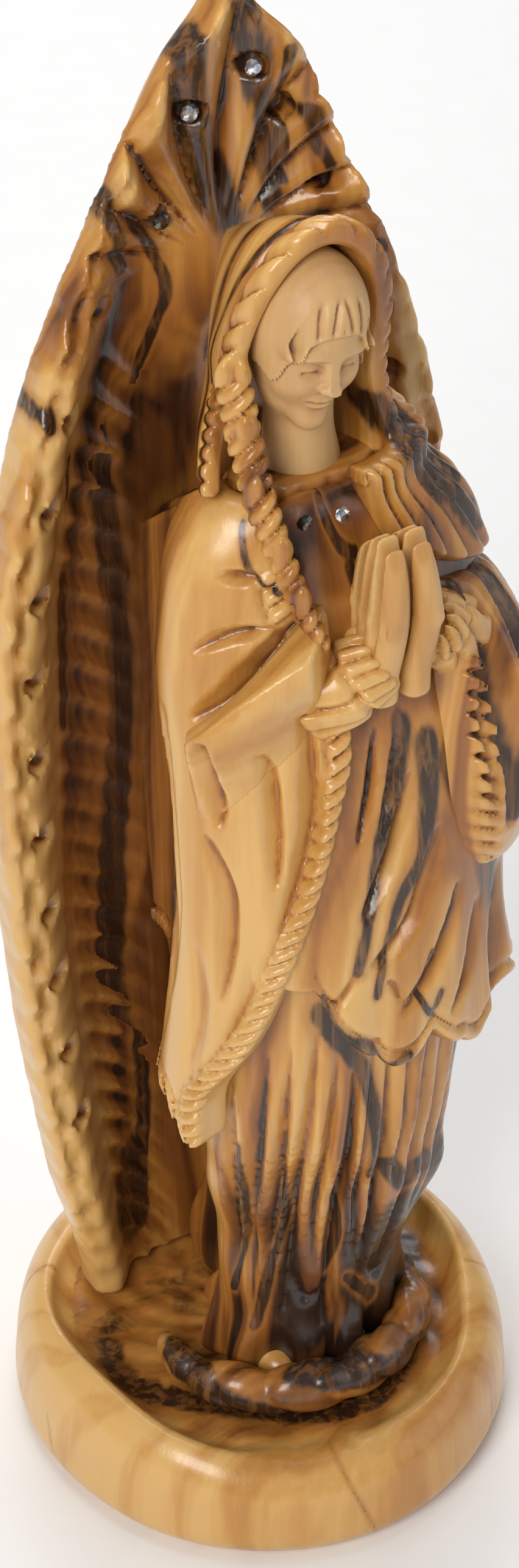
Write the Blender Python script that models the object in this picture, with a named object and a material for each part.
"""A carved olive-wood madonna: a robed figure with praying hands in a hollow mandorla on a round plinth.

The lengths below are in millimetres, +Z is up, the figure faces -Y, and the origin is the middle of the
plinth's underside. A garment is a skin round an upright axis. Its table gives, at each height, the axis's x
and y and the skin's reach to the left, right, front and back. An angle round it is 0 at the front and grows
towards +X.
"""

import bisect
import functools
import math

import bmesh
import bpy
import numpy as np
from mathutils import Vector

MM = 0.001
GAP = 0.3  # left between any two pieces
CLEARANCE = 0.4  # how much fatter a cutter is than the piece it makes room for

HEIGHT = 250
SEAT = 17  # the floor of the plinth's basin, on which everything else stands
FOOT = SEAT + GAP
SEAT_TOP = 28  # above the plinth's lip

# The plinth's profile, from its underside to the basin's floor, as (radius, height).
PLINTH = [(38.6, 0), (40.2, 2), (40.5, 9), (39.4, 15), (36.6, 19.6), (33.2, 21.8), (30.6, 20.8), (28.8, SEAT)]
OVAL = 1.05  # the plinth's depth from front to back, as a share of its width
LIP_DIP = 2.2  # the lip is lower at the front by this much

# Height, then half-width, the edge's y, and how far behind the edge the hollow and the back lie.
MANDORLA = (
    (17, (23.0, 15.0, 4.0, 15.0)),
    (46, (29.5, 12.0, 8.0, 20.0)),
    (87, (35.8, 9.5, 12.0, 23.0)),
    (130, (38.8, 8.0, 13.0, 25.0)),
    (168, (36.8, 8.0, 12.0, 24.0)),
    (200, (28.4, 8.0, 9.0, 20.0)),
    (221, (19.6, 7.5, 6.0, 15.0)),
    (240, (10.2, 7.0, 3.0, 11.0)),
    (HEIGHT, (2.0, 7.0, 1.0, 8.0)),
)
CREST = 0.86  # where the rim's crest lies, as a share of the half-width
CREST_HEIGHT = 3.4
SCALLOP = 0.7
RIM = 0.2  # the rim's thickness, as a share of the back's distance

SOCKET_RADIUS = 1.75
SOCKET_DEPTH = 3.2
SOCKET_INSET = 6.3  # from the mandorla's outline
SOCKET_TOP = 239.4
SOCKET_PITCH = {"left": 14.8, "right": 12.4}  # along the outline
SOCKET_COUNT = {"left": 13, "right": 15}
STONE_RADIUS = 1.4
COLLAR_STONES = {"collar_left": (0.8, -21.0, 183.6), "collar_right": (-4.8, -20.4, 183.8)}

EGG_BACK = 0.5  # a garment's half-depth behind its middle, as a share of its half-width
WEB = 0.52  # the half-width of the web that joins the figure to the mandorla, as a share of the same
TUNIC = (
    (FOOT, (3.0, -7.0, 15.0, 16.0, 12.0, 22.0)),
    (28, (3.0, -7.5, 14.5, 17.0, 12.5, 24.0)),
    (46, (4.0, -9.5, 17.0, 22.0, 14.5, 27.0)),
    (62, (3.5, -12.5, 19.0, 25.0, 15.0, 32.0)),
    (80, (2.5, -15.0, 20.0, 26.0, 16.0, 36.0)),
    (110, (2.5, -16.0, 20.0, 24.0, 15.0, 38.0)),
    (140, (2.5, -15.0, 19.5, 23.0, 12.0, 38.0)),
    (165, (2.0, -13.0, 18.8, 19.8, 8.5, 36.0)),
    (180, (1.0, -11.5, 15.4, 16.2, 7.4, 32.0)),
    (187, (0.0, -11.0, 11.2, 12.0, 7.0, 30.0)),
)
MANTLE = (
    (75, (2.5, -15.5, 25.8, 32.4, 19.0, 38.0)),
    (90, (2.5, -16.4, 25.8, 31.6, 18.6, 38.0)),
    (110, (2.5, -17.0, 24.5, 28.5, 17.6, 40.0)),
    (140, (2.5, -16.0, 24.0, 29.0, 14.6, 40.0)),
    (165, (2.0, -13.6, 23.4, 25.0, 11.4, 38.0)),
    (180, (1.0, -12.0, 19.5, 20.5, 10.4, 34.0)),
    (187, (0.0, -11.2, 15.0, 16.0, 9.8, 32.0)),
)
# The angle of the right mantle's front edge at each height: it crosses the body and falls to a hanging tail.
RIGHT_EDGE = (
    (79, -76), (89, -75), (99, -62), (115, -47), (131, -33), (141, -25), (150, -17), (162, -22), (187, -42),
)  # fmt: skip
EDGE_GAP = 1.5  # between the two mantles' front edges, in degrees
LEFT_HEM = ((-60, 112), (-35, 107), (-22, 101), (-6, 94), (10, 94), (24, 96), (40, 90), (75, 79), (120, 76))
RIGHT_HEM = ((-172, 85), (-95, 85), (-84, 81), (-76, 79))
SEAM_ANGLE = 172  # the mantles end here, behind the figure
NECKLINE = 186
WRAP = 1.7  # how much the right mantle stands proud of the left one
TUNIC_CLEARANCE = 4.8  # between the tunic and the mandorla, which the mantles fill
LINING = 1.2  # between the facets of the tunic and of the mantles

HEAD_CENTRE = Vector((-1.5, -14.0, 209.5))
HEAD_SIZE = Vector((8.4, 9.8, 12.0))
NECK_RADIUS = 5.0
NECK_FOOT = 188.4  # the neck leans forward, so this clears the tunic's top

VEIL_FRONT = -17.5
VEIL_BACK = 13
VEIL_SPRING = 205  # where the arch over the head starts
VEIL_CROWN = (223.6, 210)  # at the front and at the mandorla
VEIL_HALF = (9.4, 0.8)  # half the hood's inner width, at the same places
VEIL_FALL = ((25, 183), (45, 177), (70, 172), (110, 170))  # the hem over the left shoulder, by angle
VEIL_HEM = 188.2
VEIL_THICKNESS = 3.0
VEIL_FLARE = 2.5  # how much wider each side is at its hem
LAPPET_TIP = 171

# Each arm piece runs along (centre, width, depth).
HANDS = {
    "hand_right": [
        ((2.7, -27.4, 161), 2.4, 4.6), ((2.6, -28.8, 171), 2.6, 5.4), ((2.0, -30.2, 185), 2.0, 3.6),
    ],
    "hand_left": [
        ((8.0, -27.4, 161), 2.4, 4.6), ((7.9, -28.8, 171), 2.6, 5.4), ((6.3, -30.2, 185), 2.0, 3.6),
    ],
}  # fmt: skip
CUFFS = {
    "cuff_right": [((-7, -24.6, 156), 6.4, 5.6), ((-1.5, -27, 160), 6, 5.6), ((3.4, -28, 164), 4.2, 4.6)],
    "cuff_left": [((19, -22, 158), 6.6, 6.0), ((15.5, -25, 162), 5.8, 5.2), ((12.2, -27, 166), 3.4, 4.4)],
}
FEET = {"foot_right": (-6.0, -15.8, 20.9), "foot_left": (6.5, -16.0, 20.9)}
FOOT_SIZE = (3.8, 4.8, 3.5)

DOWELS = {
    "mandorla_dowel_left": ((-12, 23.6, 8), (-12, 23.6, 27), 2.0),
    "mandorla_dowel_right": ((12, 23.6, 8), (12, 23.6, 27), 2.0),
    "figure_dowel_left": ((-3.5, -4, 8), (-3.5, -4, 27), 2.4),
    "figure_dowel_right": ((9.5, -4, 8), (9.5, -4, 27), 2.4),
    "neck_dowel": ((-0.4, -11.2, 178), (-0.4, -11.2, 198), 2.0),
}
CHAMFER = 0.6
DOWEL_HOLE = 0.3  # the hole's radius and its end clear the dowel by this much

GUIDE = (1.0, 0.0, 0.0)


@functools.lru_cache(maxsize=None)
def curve(points, t):
    """The value at t of a smooth curve through (t, value) points, level past its two ends."""
    ts = [p[0] for p in points]
    values = [np.array(p[1], float) for p in points]
    if t <= ts[0] or t >= ts[-1]:
        return values[0] if t <= ts[0] else values[-1]
    i = bisect.bisect_right(ts, t) - 1
    before, after = max(i - 1, 0), min(i + 2, len(ts) - 1)
    span = ts[i + 1] - ts[i]
    slope_a = (values[i + 1] - values[before]) / (ts[i + 1] - ts[before]) * span
    slope_b = (values[after] - values[i]) / (ts[after] - ts[i]) * span
    s = (t - ts[i]) / span
    step = values[i + 1] - values[i]
    cubic = slope_a + slope_b - 2 * step
    square = 3 * step - 2 * slope_a - slope_b
    return values[i] + s * (slope_a + s * (square + s * cubic))


def blend(a, b, share):
    return a + (b - a) * share


def turns(count):
    return [math.tau * i / count for i in range(count)]


# Materials and mesh building


def material(name, colour, roughness=0.28, metallic=0.0):
    made = bpy.data.materials.get(name) or bpy.data.materials.new(name)
    made.use_nodes = True
    shader = made.node_tree.nodes["Principled BSDF"]
    shader.inputs["Base Color"].default_value = (*colour, 1)
    shader.inputs["Roughness"].default_value = roughness
    shader.inputs["Metallic"].default_value = metallic
    return made


def add_object(name, points, faces, finish):
    """An object of that name, with its faces turned outwards and its sharp edges marked."""
    shape = bmesh.new()
    corners = [shape.verts.new(Vector(p) * MM) for p in points]
    for face in faces:
        shape.faces.new([corners[i] for i in face])
    bmesh.ops.recalc_face_normals(shape, faces=shape.faces)
    mesh = bpy.data.meshes.new(name)
    shape.to_mesh(mesh)
    shape.free()
    mesh.shade_smooth()
    mesh.set_sharp_from_angle(angle=math.radians(40))
    mesh.materials.append(finish)
    made = bpy.data.objects.new(name, mesh)
    bpy.context.scene.collection.objects.link(made)
    return made


def loft(name, rings, finish):
    """A solid through closed rings of equally many points, with flat ends."""
    count = len(rings[0])
    points = [p for ring in rings for p in ring]
    faces = [list(range(count)), [len(points) - 1 - i for i in range(count)]]
    for row in range(len(rings) - 1):
        for i in range(count):
            low, beside = row * count + i, row * count + (i + 1) % count
            faces.append([low, beside, beside + count, low + count])
    return add_object(name, points, faces, finish)


def slab(name, outer, inner, across, along, finish):
    """A solid between two skins, each a function of a share across and a share along."""
    shares = [(i / across, j / along) for j in range(along + 1) for i in range(across + 1)]
    points = [outer(u, v) for u, v in shares] + [inner(u, v) for u, v in shares]
    width, deep = across + 1, len(shares)
    faces = []
    for j in range(along):
        for i in range(across):
            a, b = j * width + i, j * width + i + 1
            faces.append([a, b, b + width, a + width])
            faces.append([deep + a, deep + a + width, deep + b + width, deep + b])
    bottom, top = list(range(width)), [along * width + i for i in range(width)]
    left, right = [j * width for j in range(along + 1)], [j * width + across for j in range(along + 1)]
    for edge in (bottom, right, top, left):
        for a, b in zip(edge, edge[1:]):
            faces.append([a, b, deep + b, deep + a])
    return add_object(name, points, faces, finish)


def ball(name, centre, size, finish, around=16, rows=9):
    """An ellipsoid with small flat ends."""
    rings = []
    for j in range(rows):
        tilt = math.pi * (j + 0.5) / rows
        wide, high = math.sin(tilt), -math.cos(tilt)
        steps = [Vector((wide * math.cos(t), wide * math.sin(t), high)) for t in turns(around)]
        rings.append([Vector(centre) + step * Vector(size) for step in steps])
    return loft(name, rings, finish)


def rod(name, stations, finish, grow=0.0, around=12):
    """A solid along stations of (centre, width, depth), with its width across the run."""
    rings = []
    for i, (centre, width, depth) in enumerate(stations):
        before, after = stations[max(i - 1, 0)][0], stations[min(i + 1, len(stations) - 1)][0]
        run = (Vector(after) - Vector(before)).normalized()
        front = run.cross(Vector((1, 0, 0)) if abs(run.x) < 0.5 else Vector((0, 0, 1))).normalized()
        side = front.cross(run)
        past = {0: -grow, len(stations) - 1: grow}.get(i, 0)
        middle = Vector(centre) + run * past
        w, d = width + grow, depth + grow
        rings.append([middle + side * w * math.cos(t) + front * d * math.sin(t) for t in turns(around)])
    return loft(name, rings, finish)


def turned(name, start, direction, profile, finish, sides=12):
    """A solid turned about a line, from a profile of (radius, distance along the line)."""
    facing = Vector(direction).to_track_quat("Z", "Y")
    rings = []
    for radius, along in profile:
        ring = [Vector((radius * math.cos(t), radius * math.sin(t), along)) for t in turns(sides)]
        rings.append([Vector(start) + facing @ p for p in ring])
    return loft(name, rings, finish)


def guide(made):
    made.hide_render = True
    made.display_type = "WIRE"
    return made


def combine(piece, other, operation="DIFFERENCE"):
    """Cuts a guide's shape out of a piece, or joins it on."""
    step = piece.modifiers.new(other.name, "BOOLEAN")
    step.operation = operation
    step.solver = "EXACT"
    step.object = other


def give_way(clearance, pieces):
    """Cuts one hidden shape out of several pieces."""
    for piece in pieces:
        combine(piece, guide(clearance))


# The mandorla


def front_y(x, z):
    """The y of the mandorla's front at a place: hollow in the middle, with a crest near the rim."""
    half_width, edge_y, hollow, _ = curve(MANDORLA, z)
    across = min(abs(x) / half_width, 1)
    bowl = hollow * (1 - min(across / 0.95, 1) ** 2) ** 0.8
    crest = CREST_HEIGHT * min(1, half_width / 20) * math.exp(-(((across - CREST) / 0.1) ** 2))
    return edge_y + bowl - crest


def back_y(x, z):
    half_width, edge_y, _, back = curve(MANDORLA, z)
    across = min(abs(x) / half_width, 1)
    return edge_y + back * max(1 - across**2, RIM**2) ** 0.5


def mandorla_body(name, finish, top=HEIGHT, grow=0.0, across=16, along=36):
    """The whole shell, or with grow a fatter copy of its foot, which cuts a seat in the plinth."""

    def place(u, v):
        height = blend(FOOT - grow / 2, top, v)
        half_width = curve(MANDORLA, height)[0]
        notch = SCALLOP * (round(v * along) % 2) * (abs(u - 0.5) > 0.49) * (0 < v < 1) * (grow == 0)
        ease = math.sin((u - 0.5) * math.pi)  # narrower columns towards the rim
        return ease * (half_width - notch + grow), ease * half_width, height

    def front(u, v):
        x, inside, height = place(u, v)
        return Vector((x, front_y(inside, height) - grow, height))

    def back(u, v):
        x, inside, height = place(u, v)
        return Vector((x, back_y(inside, height) + grow, height))

    return slab(name, front, back, across, along, finish)


def socket_place(side, number):
    """The mouth of a socket and the direction into the wood, number steps down the outline from the tip."""
    word = {"left": -1, "right": 1}[side]
    distance, height, x = 0.0, float(SOCKET_TOP), 0.0
    step = 0.5
    while distance < number * SOCKET_PITCH[side]:
        half_width = curve(MANDORLA, height - step)[0]
        new_x = max(float(half_width) - SOCKET_INSET, 0.0)
        distance += math.hypot(step, new_x - x)
        x, height = new_x, height - step
    x *= word
    mouth = Vector((x, front_y(x, height), height))
    lean = (front_y(x + 0.5, height) - front_y(x - 0.5, height)) * 0.5
    return mouth, Vector((-lean, 1, 0)).normalized()


def sockets():
    """Every socket by name: one at the tip, then those of each side, from the top down."""
    found = {"top": (Vector((0, front_y(0, SOCKET_TOP), SOCKET_TOP)), Vector((0, 1, 0)))}
    for side in ("left", "right"):
        for number in range(1, SOCKET_COUNT[side] + 1):
            found[f"{side}_{number}"] = socket_place(side, number)
    return found


def socket(name, mouth, inward):
    bore = [(SOCKET_RADIUS, -4), (SOCKET_RADIUS, SOCKET_DEPTH)]
    return turned("socket_" + name, mouth, inward, bore, material("guide", GUIDE), 8)


def stone(name, mouth, inward, finish):
    """A faceted stone: a point below its girdle and a low crown that stands proud."""
    profile = [(0.3, 2.0), (STONE_RADIUS, 0.7), (STONE_RADIUS, 0.3), (0.9, -0.5)]
    return turned(name, mouth, inward, profile[::-1], finish, 10)


# The garments


def skin(table, angle, height, grow, clearance):
    """A point of a garment's skin: an egg with a web behind it, the clearance in front of the mandorla."""
    x, y, left, right, front, back = curve(table, height)
    sine, cosine = math.sin(math.radians(angle)), math.cos(math.radians(angle))
    side = right if sine > 0 else left
    egg = 1 / math.hypot(sine / side, cosine / (front if cosine > 0 else side * EGG_BACK))
    reach = 1 / math.hypot(sine / side, cosine / back)
    web = min(side * WEB / max(abs(sine), 0.001), reach) if cosine < 0 else 0
    radius = (egg**6 + web**6) ** (1 / 6) + grow
    x, y = x + radius * sine, y - radius * cosine
    return Vector((x, min(y, front_y(x, height) - clearance), height))


def cloth(name, first, last, low, high, inner, outer, across, along, finish):
    """A slab of cloth between two edges, as angles by height, and two hems, as heights by share."""

    def place(u, v, reach):
        height = blend(low(u), high(u), v)
        return reach(blend(first(height), last(height), u), height)

    return slab(name, lambda u, v: place(u, v, outer), lambda u, v: place(u, v, inner), across, along, finish)


def under_mantle(angle, height):
    return skin(TUNIC, angle, height, LINING, TUNIC_CLEARANCE - LINING)


def on_mantle(grow):
    return lambda angle, height: skin(MANTLE, angle, height, grow, CLEARANCE)


def right_edge(height):
    return float(curve(RIGHT_EDGE, height))


def left_edge(height):
    return right_edge(height) + EDGE_GAP


def make_tunic(finish, rows=20, around=90):
    heights = [blend(FOOT, TUNIC[-1][0], j / rows) for j in range(rows + 1)]
    angles = [360 * i / around for i in range(around)]
    rings = [[skin(TUNIC, a, h, 0, TUNIC_CLEARANCE) for a in angles] for h in heights]
    return loft("tunic", rings, finish)


def make_mantles(light, dark):
    """The right mantle stands proud of the left one where it crosses the body."""
    right = cloth(
        "mantle_right",
        lambda h: -SEAM_ANGLE,
        right_edge,
        lambda u: float(curve(RIGHT_HEM, blend(-SEAM_ANGLE, RIGHT_EDGE[0][1], u))),
        lambda u: NECKLINE,
        under_mantle,
        on_mantle(WRAP),
        40,
        18,
        light,
    )
    left = cloth(
        "mantle_left",
        left_edge,
        lambda h: SEAM_ANGLE,
        lambda u: float(curve(LEFT_HEM, blend(-60, SEAM_ANGLE, u))),
        lambda u: NECKLINE,
        under_mantle,
        on_mantle(0),
        60,
        18,
        dark,
    )
    return [right, left]


def make_sleeves(light, dark):
    """Each sleeve is a thick fold over the upper arm, on top of its mantle."""

    def bulge(low, high, most, base):
        def proud(height):
            return base + 0.6 + most * math.sin(math.pi * (height - low) / (high - low)) ** 0.6

        return lambda angle, height: on_mantle(proud(height))(angle, height)

    left = cloth(
        "sleeve_left",
        lambda h: float(curve(((116, 52), (135, 40), (168, 46)), h)),
        lambda h: 104,
        lambda u: 116 + 14 * (2 * u - 1) ** 2,
        lambda u: blend(171, 164, u),
        on_mantle(2 * GAP),
        bulge(112, 174, 4.4, GAP),
        14,
        9,
        dark,
    )
    right = cloth(
        "sleeve_right",
        lambda h: -70,
        lambda h: -40,
        lambda u: blend(154, 149, u),
        lambda u: blend(160, 170, u),
        on_mantle(WRAP + GAP),
        bulge(140, 178, 1.8, WRAP + GAP),
        8,
        5,
        light,
    )
    return [right, left]


def veil_point(share, back, grow):
    """A point of the hood: share runs from its right hem over the crown to its left one, and back from the
    face to the mandorla."""
    half_width = blend(VEIL_HALF[0], VEIL_HALF[1], back**1.5) + grow
    crown = blend(VEIL_CROWN[0], VEIL_CROWN[1], back**1.5)
    y = blend(VEIL_FRONT, VEIL_BACK, back)
    fall = 0.3  # each straight side takes this share
    if fall <= share <= 1 - fall:
        turn = math.pi * ((share - fall) / (1 - 2 * fall) - 0.5)
        x = HEAD_CENTRE.x + half_width * math.sin(turn)
        z = VEIL_SPRING + (crown - VEIL_SPRING + grow) * math.cos(turn)
    else:
        down = (fall - min(share, 1 - share)) / fall
        side = -1 if share < 0.5 else 1
        x = HEAD_CENTRE.x + side * (half_width + VEIL_FLARE * down**2)
        z = blend(VEIL_SPRING, VEIL_HEM, down)
    return Vector((x, min(y, front_y(x, z) - CLEARANCE), z))


def make_veil(finish):
    """The hood, with the right lappet that hangs from it over the chest."""
    hood = slab(
        "veil",
        lambda u, v: veil_point(u, v, GAP + VEIL_THICKNESS),
        lambda u, v: veil_point(u, v, GAP),
        24,
        7,
        finish,
    )
    drop = [((-13.2, -18.2, 196), 1.4, 1.4), ((-11.8, -22.4, 187), 2.2, 1.3), ((-9.6, -25.6, 178), 2.2, 1.1)]
    tip = [((-7.4, -27.2, LAPPET_TIP), 0.9, 0.8)]
    lappet = guide(rod("lappet_guide", drop + tip, finish, 0, 10))
    combine(hood, lappet, "UNION")
    fall = cloth(
        "veil_fall_guide",
        lambda h: 24,
        lambda h: 112,
        lambda u: float(curve(VEIL_FALL, blend(24, 112, u))),
        lambda u: VEIL_HEM + 1,
        on_mantle(GAP),
        on_mantle(GAP + 2.0),
        10,
        5,
        finish,
    )
    combine(hood, guide(fall), "UNION")
    return hood, rod("lappet_clearance", drop + tip, finish, CLEARANCE, 10)


def make_head(finish):
    head = ball("head", HEAD_CENTRE, HEAD_SIZE, finish, 18, 10)
    top = HEAD_CENTRE - Vector((0, 0, HEAD_SIZE.z * 0.4))
    stations = [((0, -11, NECK_FOOT), NECK_RADIUS, NECK_RADIUS), (top, NECK_RADIUS, NECK_RADIUS)]
    combine(head, guide(rod("neck_guide", stations, finish, 0, 16)), "UNION")
    return head


# The plinth and what fastens the pieces


def make_plinth(finish):
    """A round plinth with rolled shoulders, and a basin whose lip dips at the front."""
    rings = []
    for radius, height in PLINTH:
        ring = []
        for t in turns(44):
            dip = LIP_DIP * max(0, -math.sin(t)) ** 6 * (height > SEAT)
            ring.append((radius * math.cos(t), radius * OVAL * math.sin(t), height - dip))
        rings.append(ring)
    return loft("plinth", rings, finish)


def make_moon(finish):
    """A crescent that lies round the figure's feet in the basin, with its horns turned back."""
    rings = []
    for k in range(15):
        share = k / 14
        turn = math.radians(blend(-200, 20, share))
        fat = max(math.sin(math.pi * share), 0.12)
        thick, high = 3.2 * fat, 3.6 * fat
        middle = Vector((1.5 + 20.8 * math.cos(turn), -6.5 + 18.4 * math.sin(turn), FOOT + high))
        away, up = Vector((math.cos(turn), math.sin(turn), 0)), Vector((0, 0, 1))
        rings.append([middle + away * thick * math.cos(t) + up * high * math.sin(t) for t in turns(12)])
    return loft("crescent", rings, finish)


def make_dowels(finish):
    """The dowels, and the hole that each needs in the two pieces it joins."""
    holes = {}
    for name, (start, end, radius) in DOWELS.items():
        length = math.dist(start, end)
        direction = Vector(end) - Vector(start)
        tip = radius - CHAMFER
        profile = [(tip, 0), (radius, CHAMFER), (radius, length - CHAMFER), (tip, length)]
        turned(name, start, direction, profile, finish)
        wide = radius + DOWEL_HOLE
        bore = [(wide, -DOWEL_HOLE), (wide, length + DOWEL_HOLE)]
        holes[name] = guide(turned(name + "_hole", start, direction, bore, material("guide", GUIDE)))
    return holes


def main():
    for old in list(bpy.data.objects):
        bpy.data.objects.remove(old)

    light = material("olive_light", (0.62, 0.40, 0.17))
    amber = material("olive_amber", (0.40, 0.21, 0.07))
    dark = material("olive_dark", (0.20, 0.09, 0.03))
    matte = material("olive_matte", (0.58, 0.44, 0.30), 0.5)
    crystal = material("crystal", (0.85, 0.87, 0.90), 0.05, 0.9)
    smoky = material("smoky_crystal", (0.10, 0.06, 0.05), 0.05, 0.4)
    beech = material("beech", (0.66, 0.48, 0.30), 0.6)
    unseen = material("guide", GUIDE)

    plinth = make_plinth(light)
    combine(plinth, guide(mandorla_body("mandorla_seat", unseen, SEAT_TOP, GAP, 16, 3)))
    mandorla = mandorla_body("mandorla", amber)
    for name, (mouth, inward) in sockets().items():
        give_way(socket(name, mouth, inward), [mandorla])
    held = {"top": crystal, "left_1": crystal, "left_2": smoky}
    for name, finish in held.items():
        stone("stone_" + name, *sockets()[name], finish)

    tunic = make_tunic(dark)
    mantles = make_mantles(light, amber)
    sleeves = make_sleeves(light, amber)
    head = make_head(matte)
    _, lappet = make_veil(amber)
    moon = make_moon(dark)

    cuffs = [rod(name, stations, light) for name, stations in CUFFS.items()]
    for name, stations in HANDS.items():
        rod(name, stations, matte)
    for name, centre in FEET.items():
        ball(name, centre, FOOT_SIZE, light, 14, 8)

    give_way(lappet, mantles + [tunic])
    for name, mouth in COLLAR_STONES.items():
        inward = (HEAD_CENTRE.x - mouth[0], HEAD_CENTRE.y - mouth[1], 0)
        give_way(socket(name, mouth, inward), mantles + [tunic])
        stone("stone_" + name, mouth, inward, crystal if name == "collar_left" else smoky)
    for name, stations in CUFFS.items():
        give_way(rod(name + "_clearance", stations, unseen, CLEARANCE), mantles + sleeves + [tunic])
    for name, stations in HANDS.items():
        give_way(rod(name + "_clearance", stations, unseen, CLEARANCE), mantles + cuffs + [tunic])
    for name, centre in FEET.items():
        fatter = [size + CLEARANCE for size in FOOT_SIZE]
        give_way(ball(name + "_clearance", centre, fatter, unseen, 14, 8), [tunic, moon])

    holes = make_dowels(beech)
    for name, hole in holes.items():
        if "mandorla" in name:
            combine(mandorla, hole)
        else:
            combine(tunic, hole)
        combine(head if "neck" in name else plinth, hole)


main()
